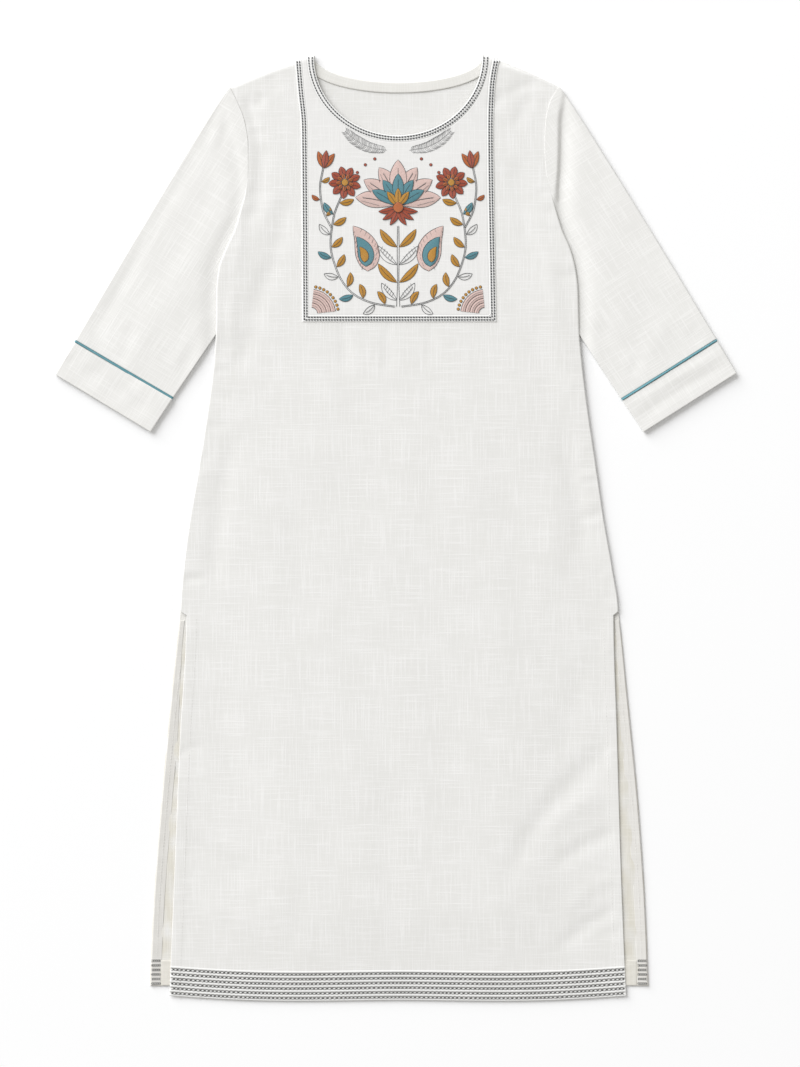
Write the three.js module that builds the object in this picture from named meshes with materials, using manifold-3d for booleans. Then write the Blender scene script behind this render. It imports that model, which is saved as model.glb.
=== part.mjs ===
// A kurta tunic in off-white slub cloth, laid flat with its front up, 1 unit = 1 mm.
// +Z is up off the surface it lies on, +Y runs from the hem to the neck, +X is to the right seen from above.
// The tables give x from the centre front line and up from the lowest point of the front hem. The finished
// group is then moved so that the middle of its box lies over the origin, with its flat underside at z = 0.
// Every piece is a wall of cloth of its own, and pieces that are sewn together stay a small gap apart.
import * as THREE from "three";
import { mergeVertices } from "three/addons/utils/BufferGeometryUtils.js";
import Module from "manifold-3d";

const wasm = await Module();
wasm.setup();

// Driving dimensions
const wall = 1.2; // cloth of the body and the sleeves
const thinWall = 1.0; // turned edges, neck binding and yoke panel
const gap = 0.3; // between pieces that lie on each other
const seamGap = 0.4; // between pieces that meet edge to edge
const reach = 40; // how far a cutting prism stands above and below the surface
const cell = 34; // grid of the front panel's form

const onBack = wall + gap; // height where a piece that lies on the back panel starts

const neck = { x: -1.2, up: 1172.5, halfWidth: 104.5, frontDepth: 98, backDepth: 32.3 };
const binding = { width: 12, topUp: 1166 };
const hemTurn = { depth: 31.7 };
const slitTurn = { width: 12.5, topWidth: 5.2, narrowsFromUp: 300, topUp: 472, clear: 1.2 };
const yoke = { bottomUp: 843, topUp: 1190 };
const piping = { width: 3, stand: 0.8 };
const tube = { edgeHeight: 3.0, foldReach: 2, sleeveLoft: 2.4, cuffLoft: 1.2, crownRise: 6, crownLean: 0.4 };
const front = { loft: 2.0, underarmLift: 2.1, hemLift: 1.5 };

// Edges of the body, a row for each height, as distances out from the centre front line
const slitFront = [
  { up: 6, left: 285.3, right: 282.2 },
  { up: 140, left: 279.7, right: 276.6 },
  { up: 325, left: 272.2, right: 271.0 },
  { up: 479, left: 264.1, right: 266.6 },
];
const slitBack = [
  { up: 18.4, left: 309.8, right: 310.0 },
  { up: 115, left: 305.4, right: 306.0 },
  { up: 240, left: 296.0, right: 297.5 },
  { up: 386, left: 282.2, right: 283.0 },
  { up: 474, left: 272.8, right: 274.0 },
];
const sideSeam = [
  { up: 539, left: 267.3, right: 264.4 },
  { up: 600, left: 259.3, right: 253.8 },
  { up: 655, left: 249.8, right: 245.8 },
  { up: 746, left: 235.6, right: 232.6 },
  { up: 797, left: 229.4, right: 226.6 },
  { up: 829, left: 227.6, right: 223.9 },
];
// The front folds over the sleeve below the armhole seam
const underarmFold = [
  { up: 883, left: 226.9, right: 222.3 },
  { up: 908, left: 224.4, right: 219.4 },
  { up: 933, left: 215.7, right: 213.0 },
  { up: 956, left: 205.1, right: 203.2 },
  { up: 982, left: 197.0, right: 194.9 },
];
// The armhole seam, from the underarm up to the shoulder tip
const armhole = [
  { up: 829, left: 227.6, right: 223.9 },
  { up: 858, left: 221.3, right: 219.0 },
  { up: 895, left: 210.1, right: 209.0 },
  { up: 939, left: 200.1, right: 199.0 },
  { up: 976, left: 193.9, right: 193.0 },
  { up: 1005, left: 190.8, right: 188.9 },
  { up: 1033, left: 188.4, right: 183.5 },
  { up: 1063, left: 188.6, right: 181.8 },
  { up: 1093, left: 193.3, right: 183.3 },
  { up: 1114, left: 201.4, right: 188.0 },
  { up: 1134, left: 211.3, right: 199.5 },
];
const armholeSteps = 12;
const seamStartsUp = 1004; // above this the front's edge is the armhole seam itself
const shoulder = [
  { x: -160, up: 1157.5 },
  { x: -106.5, up: 1175.7 },
  { x: 106.5, up: 1175.1 },
  { x: 150, up: 1157.8 },
];
const hemCurve = [
  { x: -285.3, up: 6 },
  { x: -173, up: 0 },
  { x: 0, up: 0.5 },
  { x: 175, up: 1.2 },
  { x: 282.2, up: 6 },
];
const yokeSides = [
  { up: yoke.bottomUp, left: 120.0, right: 121.2 },
  { up: 1085, left: 121.8, right: 117.6 },
  { up: 1132, left: 126.2, right: 119.2 },
  { up: yoke.topUp, left: 131.0, right: 129.0 },
];
// The piping line and the open end of each cuff: outer is the sleeve's folded edge, inner its underarm seam
const sleeveEnds = {
  left: {
    piping: { outer: [-402.5, 819.3], inner: [-280.8, 748.2] },
    cuff: { outer: [-427.3, 777.9], inner: [-308.4, 706.3] },
  },
  right: {
    piping: { outer: [394.9, 820.5], inner: [276.6, 746.7] },
    cuff: { outer: [419.3, 779.4], inner: [303.7, 706.3] },
  },
};
// The largest soft folds of the front, as long low ridges: lean is from upright, positive to the right
const folds = [
  { x: -172, up: 1010, lean: -6, length: 200, width: 20, rise: 0.9 },
  { x: -165, up: 840, lean: 28, length: 230, width: 22, rise: 0.8 },
  { x: 150, up: 1110, lean: 62, length: 120, width: 20, rise: 0.8 },
  { x: 222, up: 620, lean: 8, length: 190, width: 20, rise: 0.8 },
  { x: 205, up: 235, lean: 38, length: 220, width: 22, rise: 1.0 },
  { x: 225, up: 120, lean: 60, length: 130, width: 20, rise: 0.8 },
  { x: -215, up: 170, lean: -58, length: 150, width: 22, rise: 0.9 },
  { x: -232, up: 590, lean: -9, length: 200, width: 20, rise: 0.7 },
];

const offWhite = new THREE.MeshStandardMaterial({ color: 0xeceae6, roughness: 0.9, metalness: 0 });
const yokeWhite = new THREE.MeshStandardMaterial({ color: 0xf0efec, roughness: 0.88, metalness: 0 });
const innerWhite = new THREE.MeshStandardMaterial({ color: 0xe4e1db, roughness: 0.92, metalness: 0 });
const tealCord = new THREE.MeshStandardMaterial({ color: 0x6f9ba3, roughness: 0.7, metalness: 0 });

const sideSign = { left: -1, right: 1 };
const smooth = THREE.MathUtils.smoothstep;

// ---- Plan outlines

// One side's edge as a smooth curve through the rows of a table
function edgeCurve(rows, side) {
  return new THREE.SplineCurve(rows.map((row) => new THREE.Vector2(sideSign[side] * row[side], row.up)));
}

function armholePoints(side) {
  return edgeCurve(armhole, side).getPoints(armholeSteps);
}

// The body's outline, anticlockwise from the lower left corner: hem, right side, shoulder line, left side
function bodyOutline(hem, sideOf) {
  const top = shoulder.map((row) => new THREE.Vector2(row.x, row.up)).reverse();
  return new THREE.Shape([...hem, ...sideOf("right"), ...top, ...sideOf("left").reverse()]);
}

function frontSide(side) {
  const lower = edgeCurve([...slitFront, ...sideSeam], side).getPoints(24);
  const seam = armholePoints(side).filter((point) => point.y > seamStartsUp);
  const seamStart = new THREE.Vector2(sideSign[side] * seam[0].x, seam[0].y);
  const foldRows = [sideSeam.at(-1), ...underarmFold, { up: seamStart.y, [side]: seamStart.x }];
  const fold = edgeCurve(foldRows, side).getPoints(14);
  return [...lower.slice(1, -1), ...fold, ...seam.slice(1)];
}

function backSide(side) {
  const lower = edgeCurve([...slitBack, ...sideSeam], side).getPoints(24);
  return [...lower, ...armholePoints(side).slice(1)];
}

function neckEllipse(depth, grow = 0) {
  const shape = new THREE.Shape();
  shape.absellipse(neck.x, neck.up, neck.halfWidth + grow, depth + grow, 0, 2 * Math.PI);
  return shape;
}

// ---- Solids

function solidOf(geometry) {
  const bare = geometry.clone();
  bare.deleteAttribute("normal");
  bare.deleteAttribute("uv");
  const merged = mergeVertices(bare, 1e-4);
  const vertProperties = new Float32Array(merged.getAttribute("position").array);
  const triVerts = new Uint32Array(merged.getIndex().array);
  return new wasm.Manifold(new wasm.Mesh({ numProp: 3, vertProperties, triVerts }));
}

function geometryOf(solid) {
  const { vertProperties, triVerts } = solid.getMesh();
  const geometry = new THREE.BufferGeometry();
  geometry.setAttribute("position", new THREE.BufferAttribute(vertProperties, 3));
  geometry.setIndex(new THREE.BufferAttribute(triVerts, 1));
  return geometry;
}

function prism(shape, from, to) {
  const settings = { depth: to - from, bevelEnabled: false, curveSegments: 28 };
  const geometry = new THREE.ExtrudeGeometry(shape, settings);
  return solidOf(geometry.translate(0, 0, from));
}

const cutter = (shape) => prism(shape, -reach, reach);

// A closed body between two copies of one grid of points: lower(i, j) and upper(i, j) each give [x, y, z]
function slabGeometry(columns, rows, lower, upper) {
  const positions = [];
  for (const place of [lower, upper]) {
    for (let j = 0; j <= rows; j += 1) {
      for (let i = 0; i <= columns; i += 1) positions.push(...place(i, j));
    }
  }
  const at = (layer, i, j) => layer * (columns + 1) * (rows + 1) + j * (columns + 1) + i;
  const triangles = [];
  const quad = (a, b, c, d) => triangles.push(a, b, c, a, c, d);
  for (let j = 0; j < rows; j += 1) {
    for (let i = 0; i < columns; i += 1) {
      quad(at(0, i, j), at(0, i, j + 1), at(0, i + 1, j + 1), at(0, i + 1, j));
      quad(at(1, i, j), at(1, i + 1, j), at(1, i + 1, j + 1), at(1, i, j + 1));
    }
  }
  for (let i = 0; i < columns; i += 1) {
    quad(at(0, i, 0), at(0, i + 1, 0), at(1, i + 1, 0), at(1, i, 0));
    quad(at(0, i + 1, rows), at(0, i, rows), at(1, i, rows), at(1, i + 1, rows));
  }
  for (let j = 0; j < rows; j += 1) {
    quad(at(0, 0, j + 1), at(0, 0, j), at(1, 0, j), at(1, 0, j + 1));
    quad(at(0, columns, j), at(0, columns, j + 1), at(1, columns, j + 1), at(1, columns, j));
  }
  const geometry = new THREE.BufferGeometry();
  geometry.setAttribute("position", new THREE.Float32BufferAttribute(positions, 3));
  geometry.setIndex(triangles);
  return geometry;
}

// Cloth with a given outline whose underside follows a height: a gridded blanket cut to the outline
function draped(outline, underAt, thickness) {
  const box = new THREE.Box2().setFromPoints(outline.getPoints(4));
  const firstColumn = Math.floor(box.min.x / cell);
  const firstRow = Math.floor(box.min.y / cell);
  const columns = Math.ceil(box.max.x / cell) - firstColumn;
  const rows = Math.ceil(box.max.y / cell) - firstRow;
  const place = (lift) => (i, j) => {
    const x = (firstColumn + i) * cell;
    const y = (firstRow + j) * cell;
    return [x, y, underAt(x, y) + lift];
  };
  const blanket = solidOf(slabGeometry(columns, rows, place(0), place(thickness)));
  return blanket.intersect(cutter(outline));
}

// Height of the front's underside: a shallow loft across the body, lifts where it covers the sleeve's end and
// the turned-up back hem, and the long folds
function frontUnder(x, up) {
  const across = Math.min(Math.abs(x) / 285, 1);
  let height = onBack + front.loft * (1 - across ** 4);
  const beside = smooth(Math.abs(x), 150, 188);
  height += front.underarmLift * beside * smooth(up, 770, 815) * (1 - smooth(up, 1015, 1065));
  height += front.hemLift * across ** 4 * (1 - smooth(up, 56, 112));
  for (const fold of folds) {
    const lean = THREE.MathUtils.degToRad(fold.lean);
    const dx = x - fold.x;
    const dy = up - fold.up;
    const along = dx * Math.sin(lean) + dy * Math.cos(lean);
    const off = dx * Math.cos(lean) - dy * Math.sin(lean);
    height += fold.rise * Math.exp(-((off / fold.width) ** 2) - (2 * along / fold.length) ** 4);
  }
  return height;
}

// A flat open tube between two plan lines, from its shoulder end to its wrist end. Each ring runs over the top
// from the folded edge (w = 0) to the underarm seam (w = 1) and back along the surface it lies on.
function flatTube({ start, finish, stations, heightAt, bulge = 0 }) {
  const at = (line, w) => {
    const place = Math.min(w, 0.999999) * (line.length - 1);
    const step = Math.floor(place);
    return line[step].clone().lerp(line[step + 1], place - step);
  };
  const outwards = start[0].clone().sub(start.at(-1)).normalize();
  const rings = [];
  for (let s = 0; s <= stations; s += 1) {
    const t = s / stations;
    const width = at(start, 0).lerp(at(finish, 0), t).distanceTo(at(start, 1).lerp(at(finish, 1), t));
    const fold = tube.foldReach / width;
    const inside = wall / width;
    const inner = Array.from({ length: armholeSteps - 1 }, (_, k) => (k + 1) / armholeSteps);
    const outerWs = [0, fold, ...inner, 1 - fold, 1];
    const innerWs = [inside, inside + fold, ...inner, 1 - inside - fold, 1 - inside];
    const point = (w, z) => {
      const plan = at(start, w).lerp(at(finish, w), t);
      const swell = bulge * Math.sin(Math.PI * t ** tube.crownLean) * (1 - w) ** 4;
      plan.addScaledVector(outwards, swell);
      return [plan.x, plan.y, z];
    };
    const last = outerWs.length - 1;
    const isEdge = (k) => k === 0 || k === last;
    const skin = (ws, top, under) => {
      const over = ws.map((w, k) => point(w, isEdge(k) ? tube.edgeHeight / 2 : top(w)));
      const back = ws.slice(1, -1).reverse().map((w) => point(w, under));
      return [...over, ...back];
    };
    rings.push({
      outer: skin(outerWs, (w) => heightAt(w, t), 0),
      inner: skin(innerWs, (w) => heightAt(w, t) - wall, wall),
    });
  }
  return ringSolid(rings);
}

// Joins rings of an outer and an inner skin into one open tube wall
function ringSolid(rings) {
  const count = rings[0].outer.length;
  const positions = rings.flatMap((ring) => [...ring.outer, ...ring.inner].flat());
  const at = (s, skin, k) => (2 * s + skin) * count + (k % count);
  const triangles = [];
  const quad = (a, b, c, d) => triangles.push(a, b, c, a, c, d);
  const last = rings.length - 1;
  for (let k = 0; k < count; k += 1) {
    for (let s = 0; s < last; s += 1) {
      quad(at(s, 0, k), at(s + 1, 0, k), at(s + 1, 0, k + 1), at(s, 0, k + 1));
      quad(at(s, 1, k), at(s, 1, k + 1), at(s + 1, 1, k + 1), at(s + 1, 1, k));
    }
    quad(at(0, 0, k), at(0, 0, k + 1), at(0, 1, k + 1), at(0, 1, k));
    quad(at(last, 0, k), at(last, 1, k), at(last, 1, k + 1), at(last, 0, k + 1));
  }
  const geometry = new THREE.BufferGeometry();
  geometry.setAttribute("position", new THREE.Float32BufferAttribute(positions, 3));
  geometry.setIndex(triangles);
  const solid = solidOf(geometry);
  return solid.volume() > 0 ? solid : solidOf(flipped(geometry));
}

// The same surface with every triangle turned over, for a tube that runs the other way across the garment
function flipped(geometry) {
  const index = Array.from(geometry.getIndex().array);
  const turned = index.map((_, n) => index[n - (n % 3) + [0, 2, 1][n % 3]]);
  const copy = geometry.clone();
  copy.setIndex(turned);
  return copy;
}

// ---- Pieces

const frontHem = new THREE.SplineCurve(hemCurve.map((row) => new THREE.Vector2(row.x, row.up))).getPoints(16);
const frontOutline = bodyOutline(frontHem, frontSide);
const backOutline = bodyOutline([], backSide);

function makeBack() {
  return prism(backOutline, 0, wall).subtract(cutter(neckEllipse(neck.backDepth)));
}

function makeFront() {
  return draped(frontOutline, frontUnder, wall).subtract(cutter(neckEllipse(neck.frontDepth)));
}

// The plain panel sewn on the chest, cut with the front's own neck and shoulder lines
function makeYoke() {
  const [rightSide, leftSide] = ["right", "left"].map((side) => edgeCurve(yokeSides, side).getPoints(8));
  const outline = new THREE.Shape([...rightSide, ...leftSide.reverse()]);
  const panel = draped(outline, (x, up) => frontUnder(x, up) + wall + gap, thinWall);
  return panel.intersect(cutter(frontOutline)).subtract(cutter(neckEllipse(neck.frontDepth)));
}

// The band inside the back neck, seen through the front's scoop
function makeBinding() {
  const band = prism(neckEllipse(neck.backDepth, binding.width), onBack, onBack + thinWall);
  const aboveBand = new THREE.BoxGeometry(4 * neck.halfWidth, 4 * neck.halfWidth, 2 * reach);
  aboveBand.translate(0, binding.topUp + 2 * neck.halfWidth, 0);
  return band
    .subtract(cutter(neckEllipse(neck.backDepth)))
    .intersect(cutter(neckEllipse(neck.frontDepth, -seamGap)))
    .subtract(solidOf(aboveBand));
}

// A flat strip of cloth on the back panel's inner face
function strip(points) {
  return prism(new THREE.Shape(points), onBack, onBack + thinWall);
}

// The back's slit edge, moved inwards by a distance that may change with height
function backSlitEdge(side, inwardAt) {
  return edgeCurve([...slitBack, ...sideSeam], side)
    .getPoints(60)
    .filter((point) => point.y <= slitTurn.topUp)
    .map((point) => new THREE.Vector2(point.x - sideSign[side] * inwardAt(point.y), point.y));
}

// The turning narrows towards the top of the slit, where the front comes close to the back's edge
function makeSlitTurn(side) {
  const { width, topWidth, narrowsFromUp, topUp, clear } = slitTurn;
  const outer = backSlitEdge(side, () => clear);
  const inner = backSlitEdge(side, (up) => width + (topWidth - width) * smooth(up, narrowsFromUp, topUp));
  return strip([...outer, ...inner.reverse()]);
}

function makeHemTurn() {
  const low = slitBack[0].up;
  const inset = slitTurn.width + seamGap;
  const corner = (side, up) => {
    const slope = (slitBack[1][side] - slitBack[0][side]) / (slitBack[1].up - low);
    const out = slitBack[0][side] + slope * (up - low) - inset;
    return new THREE.Vector2(sideSign[side] * out, up);
  };
  const high = low + hemTurn.depth;
  return strip([corner("left", low), corner("right", low), corner("right", high), corner("left", high)]);
}

// One point of a line in the sleeve's plan, moved along the sleeve
function lineBetween(ends, along, distance) {
  return [ends.outer, ends.inner].map(([x, up]) => new THREE.Vector2(x, up).addScaledVector(along, distance));
}

function sleeveDirection(ends) {
  const from = new THREE.Vector2(...ends.piping.outer).add(new THREE.Vector2(...ends.piping.inner));
  const to = new THREE.Vector2(...ends.cuff.outer).add(new THREE.Vector2(...ends.cuff.inner));
  return to.sub(from).normalize();
}

function makeSleeve(side) {
  const ends = sleeveEnds[side];
  const along = sleeveDirection(ends);
  const start = armholePoints(side).reverse();
  start.forEach((point) => { point.x += sideSign[side] * seamGap; });
  const finish = lineBetween(ends.piping, along, -piping.width / 2 - gap);
  const heightAt = (w, t) => tube.edgeHeight + tube.sleeveLoft * Math.sin(Math.PI * w) * smooth(t, 0.12, 0.5);
  return flatTube({ start, finish, stations: 9, heightAt, bulge: tube.crownRise });
}

function cuffHeight(w) {
  return tube.edgeHeight + tube.cuffLoft * Math.sin(Math.PI * w);
}

function makeCuff(side) {
  const ends = sleeveEnds[side];
  const start = lineBetween(ends.piping, sleeveDirection(ends), piping.width / 2 + gap);
  const finish = lineBetween(ends.cuff, new THREE.Vector2(), 0);
  return flatTube({ start, finish, stations: 3, heightAt: cuffHeight });
}

function makePiping(side) {
  const ends = sleeveEnds[side];
  const along = sleeveDirection(ends);
  const start = lineBetween(ends.piping, along, -piping.width / 2);
  const finish = lineBetween(ends.piping, along, piping.width / 2);
  const heightAt = (w) => tube.edgeHeight + tube.sleeveLoft * Math.sin(Math.PI * w) + piping.stand;
  return flatTube({ start, finish, stations: 1, heightAt });
}

const garment = new THREE.Group();

function add(name, solid, material) {
  const mesh = new THREE.Mesh(geometryOf(solid), material);
  mesh.name = name;
  garment.add(mesh);
}

add("back_body", makeBack(), offWhite);
add("front_body", makeFront(), offWhite);
add("yoke_panel", makeYoke(), yokeWhite);
add("back_neck_binding", makeBinding(), innerWhite);
add("back_hem_turn", makeHemTurn(), innerWhite);
for (const side of ["left", "right"]) {
  add(`back_slit_turn_${side}`, makeSlitTurn(side), innerWhite);
  add(`sleeve_${side}`, makeSleeve(side), offWhite);
  add(`piping_${side}`, makePiping(side), tealCord);
  add(`cuff_${side}`, makeCuff(side), offWhite);
}

const box = new THREE.Box3().setFromObject(garment);
const middle = box.getCenter(new THREE.Vector3());
garment.position.set(-middle.x, -middle.y, -box.min.z);

export default garment;
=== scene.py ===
# An off-white slub kurta tunic laid flat with its front up: stitched chest panel, teal piping, side slits.
# Distances in the tables are mm: x out from the centre front line, up from the lowest point of the hem.
import bpy
import mathutils
import numpy as np
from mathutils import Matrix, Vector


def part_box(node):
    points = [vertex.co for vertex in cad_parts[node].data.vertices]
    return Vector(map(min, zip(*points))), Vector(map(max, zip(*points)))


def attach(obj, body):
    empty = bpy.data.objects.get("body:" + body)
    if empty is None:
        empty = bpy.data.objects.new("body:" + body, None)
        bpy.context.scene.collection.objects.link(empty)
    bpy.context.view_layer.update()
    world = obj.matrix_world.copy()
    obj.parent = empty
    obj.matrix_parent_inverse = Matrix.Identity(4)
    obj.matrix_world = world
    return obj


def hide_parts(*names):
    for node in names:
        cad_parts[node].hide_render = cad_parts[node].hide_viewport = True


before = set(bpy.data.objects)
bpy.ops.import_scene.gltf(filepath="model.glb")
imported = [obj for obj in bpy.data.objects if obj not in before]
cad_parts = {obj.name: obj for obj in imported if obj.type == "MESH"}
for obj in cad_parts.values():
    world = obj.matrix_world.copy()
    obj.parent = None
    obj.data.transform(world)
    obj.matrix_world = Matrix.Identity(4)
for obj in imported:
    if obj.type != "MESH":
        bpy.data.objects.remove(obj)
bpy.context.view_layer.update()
print("stage: frame loaded")

mm = 0.001
bindingLow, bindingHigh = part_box("back_neck_binding")
neckMiddle = -1.2  # the neck's middle lies this far left of the centre front line
shoulderTop = 1175.7
centreX = (bindingLow[0] + bindingHigh[0]) / 2 - neckMiddle * mm
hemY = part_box("front_body")[1][1] - shoulderTop * mm
sideSign = {"left": -1, "right": 1}

# ---- Curves and surfaces


def table(columns, *rows):
    return [dict(zip(columns.split(), row)) for row in rows]


def throughRows(rows, column, at):
    # smooth curve through the rows that never swings past them: the slope at each row is the harmonic mean
    # of the slopes on either side, or level where they differ in sign
    up = np.array([row["up"] for row in rows], float)
    value = np.array([row[column] for row in rows], float)
    slope = np.diff(value) / np.diff(up)
    product = slope[1:] * slope[:-1]
    total = slope[1:] + slope[:-1]
    inner = np.where(product > 0, 2 * product / np.where(total == 0, 1, total), 0)
    tangent = np.concatenate([slope[:1], inner, slope[-1:]])
    place = np.clip(at, up[0], up[-1])
    k = np.clip(np.searchsorted(up, place) - 1, 0, len(up) - 2)
    width = up[k + 1] - up[k]
    t = (place - up[k]) / width
    start, end = value[k], value[k + 1]
    return (start * (1 + 2 * t) * (1 - t) ** 2 + end * t * t * (3 - 2 * t)
            + width * (tangent[k] * t * (1 - t) ** 2 - tangent[k + 1] * t * t * (1 - t)))


def outline(rows, x, up):
    # how far out the left or right side line lies at this height
    return np.where(x < 0, throughRows(rows, "left", up), throughRows(rows, "right", up))


def smooth(value, low, high):
    # 0 below low, 1 above high, an S curve between
    t = np.clip((value - low) / (high - low), 0, 1)
    return t * t * (3 - 2 * t)


def spaced(length, step, fine=(), fineEnd=()):
    # places from 0 to length about a step apart, with extra ones at given distances from each end
    even = np.linspace(0, length, max(int(round(length / step)), 2) + 1)
    lowKeep = max(fine, default=0) + step * 0.5
    highKeep = length - max(fineEnd, default=0) - step * 0.5
    even = even[(even > lowKeep) & (even < highKeep)]
    return np.unique(np.concatenate([[0], fine, even, length - np.array(fineEnd), [length]]))


def edgeRoll(distance, radius):
    # how far a surface has dropped where its edge rolls over: a quarter circle of the given radius
    inside = np.clip(distance / np.maximum(radius, 1e-6), 0, 1)
    return radius * (1 - np.sqrt(np.clip(1 - (1 - inside) ** 2, 0, 1)))


def creaseHeight(x, up, rows):
    # each row is a soft ridge (or trough) along a bowed line, with a bell section and ends that die away
    height = np.zeros_like(x)
    for x0, up0, x1, up1, width, rise, bow in rows:
        length = np.hypot(x1 - x0, up1 - up0)
        ax, ay = (x1 - x0) / length, (up1 - up0) / length
        along = ((x - x0) * ax + (up - up0) * ay) / length
        off = (x - x0) * ay - (up - up0) * ax
        off = off - bow * np.sin(np.pi * np.clip(along, 0, 1))
        fade = smooth(along, -0.12, 0.22) * (1 - smooth(along, 0.72, 1.12))
        height += rise * np.exp(-(off / width) ** 2) * fade
    return height


def undulation(x, up, seed, wavelength, rise):
    # slow uneven swell: a sum of plane waves with seeded directions, lengths and phases
    rng = np.random.default_rng(seed)
    total = np.zeros_like(x)
    for _ in range(9):
        turn = rng.uniform(0, np.pi)
        length = wavelength * rng.uniform(0.6, 1.7)
        phase = rng.uniform(0, 2 * np.pi)
        total += np.sin(2 * np.pi * (x * np.cos(turn) + up * np.sin(turn)) / length + phase)
    return rise * total / 3


def toFrame(points):
    # table millimetres to the frame's metres
    out = np.empty_like(points)
    out[..., 0] = points[..., 0] * mm + centreX
    out[..., 1] = points[..., 1] * mm + hemY
    out[..., 2] = points[..., 2] * mm
    return out


def makeMesh(name, points, faces, uv=None, attributes=None):
    # a mesh object from arrays: points (n, 3) in metres, faces (m, 3 or 4), uv and attributes per point
    mesh = bpy.data.meshes.new(name)
    mesh.vertices.add(len(points))
    mesh.vertices.foreach_set("co", np.ascontiguousarray(points, np.float32).ravel())
    sides = faces.shape[1]
    mesh.loops.add(faces.size)
    mesh.loops.foreach_set("vertex_index", faces.ravel().astype(np.int32))
    mesh.polygons.add(len(faces))
    mesh.polygons.foreach_set("loop_start", np.arange(0, faces.size, sides, dtype=np.int32))
    mesh.polygons.foreach_set("use_smooth", np.ones(len(faces), bool))
    if uv is not None:
        layer = mesh.uv_layers.new(name="cloth")
        layer.data.foreach_set("uv", uv[faces.ravel()].astype(np.float32).ravel())
    for key, values in (attributes or {}).items():
        layer = mesh.attributes.new(key, "FLOAT", "POINT")
        layer.data.foreach_set("value", values.astype(np.float32).ravel())
    mesh.update(calc_edges=True)
    mesh.validate()
    piece = bpy.data.objects.new(name, mesh)
    bpy.context.scene.collection.objects.link(piece)
    return piece


def lengthAlong(points):
    # the distance gone along a line at each of its points, starting at 0
    return np.concatenate([[0], np.cumsum(np.linalg.norm(np.diff(points, axis=0), axis=1))])


def heading(points):
    # the unit direction of a line at each of its points
    along = np.gradient(points, axis=0)
    return along / np.linalg.norm(along, axis=1)[:, None]


def gridFaces(rows, columns, closed=False):
    # quads of a grid stored row by row; closed joins the last column to the first
    r, c = np.meshgrid(np.arange(rows - 1), np.arange(columns if closed else columns - 1), indexing="ij")
    following = (c + 1) % columns
    here, above = r * columns, (r + 1) * columns
    corners = [here + c, here + following, above + following, above + c]
    return np.stack(corners, -1).reshape(-1, 4)


def thicken(piece, thickness):
    wall = piece.modifiers.new("wall", "SOLIDIFY")
    wall.thickness = thickness * mm
    wall.offset = -1
    wall.use_even_offset = False


def finishPiece(piece, material, replaced):
    piece.data.materials.append(material)
    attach(piece, "root")
    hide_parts(replaced)
    return piece


# ---- Materials


def colour(hexCode):
    # sRGB hex to the linear values that Blender works in
    parts = [int(hexCode[i:i + 2], 16) / 255 for i in (1, 3, 5)]
    return [p / 12.92 if p <= 0.04045 else ((p + 0.055) / 1.055) ** 2.4 for p in parts] + [1]


def addNode(tree, kind, values):
    # one node: each entry sets a property or an input, and an entry that is a socket is linked
    made = tree.nodes.new(kind)
    for key, value in values.items():
        if isinstance(key, str) and key not in made.inputs and hasattr(made, key):
            setattr(made, key, value)
        elif isinstance(value, bpy.types.NodeSocket):
            tree.links.new(value, made.inputs[key])
        else:
            made.inputs[key].default_value = value
    return made


def mathNode(tree, operation, *values):
    return addNode(tree, "ShaderNodeMath", {"operation": operation, **dict(enumerate(values))}).outputs[0]


def rangeNode(tree, value, low, high, lowest=0.0, highest=1.0):
    return addNode(tree, "ShaderNodeMapRange", {
        "Value": value, "From Min": low, "From Max": high, "To Min": lowest, "To Max": highest}).outputs[0]


def mixNode(tree, factor, first, second, blend="MIX"):
    # between two colours, each a hex code or a socket
    ends = [colour(end) if isinstance(end, str) else end for end in (first, second)]
    return addNode(tree, "ShaderNodeMix", {
        "data_type": "RGBA", "blend_type": blend, "Factor": factor, 6: ends[0], 7: ends[1]}).outputs[2]


def newMaterial(name, roughness, ior, sheen):
    material = bpy.data.materials.new(name)
    material.use_nodes = True
    shader = material.node_tree.nodes["Principled BSDF"]
    shader.inputs["Roughness"].default_value = roughness
    shader.inputs["IOR"].default_value = ior
    shader.inputs["Sheen Weight"].default_value = sheen
    return material, material.node_tree, shader


def finishShader(tree, shader, shown, strength, distance, height):
    # the colour, and a relief of a distance in mm
    settings = {"Strength": strength, "Distance": distance * mm, "Height": height}
    relief = addNode(tree, "ShaderNodeBump", settings)
    tree.links.new(relief.outputs["Normal"], shader.inputs["Normal"])
    tree.links.new(shown, shader.inputs["Base Color"])


slubCloth = {
    "threadPitch": 0.9,   # mm between threads, drawn coarser than the real 0.45 so that it shows
    "slubLength": 55,     # mm that a thick stretch of thread runs
    "slubWidth": 1.6,     # mm across a thick thread
    "patch": 38,          # mm across a patch where the cloth is thicker or thinner
    "weave": 0.22,        # how high the weave stands beside a thick thread
    "roughness": 0.92,
    "sheen": 0.12,
}


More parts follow.
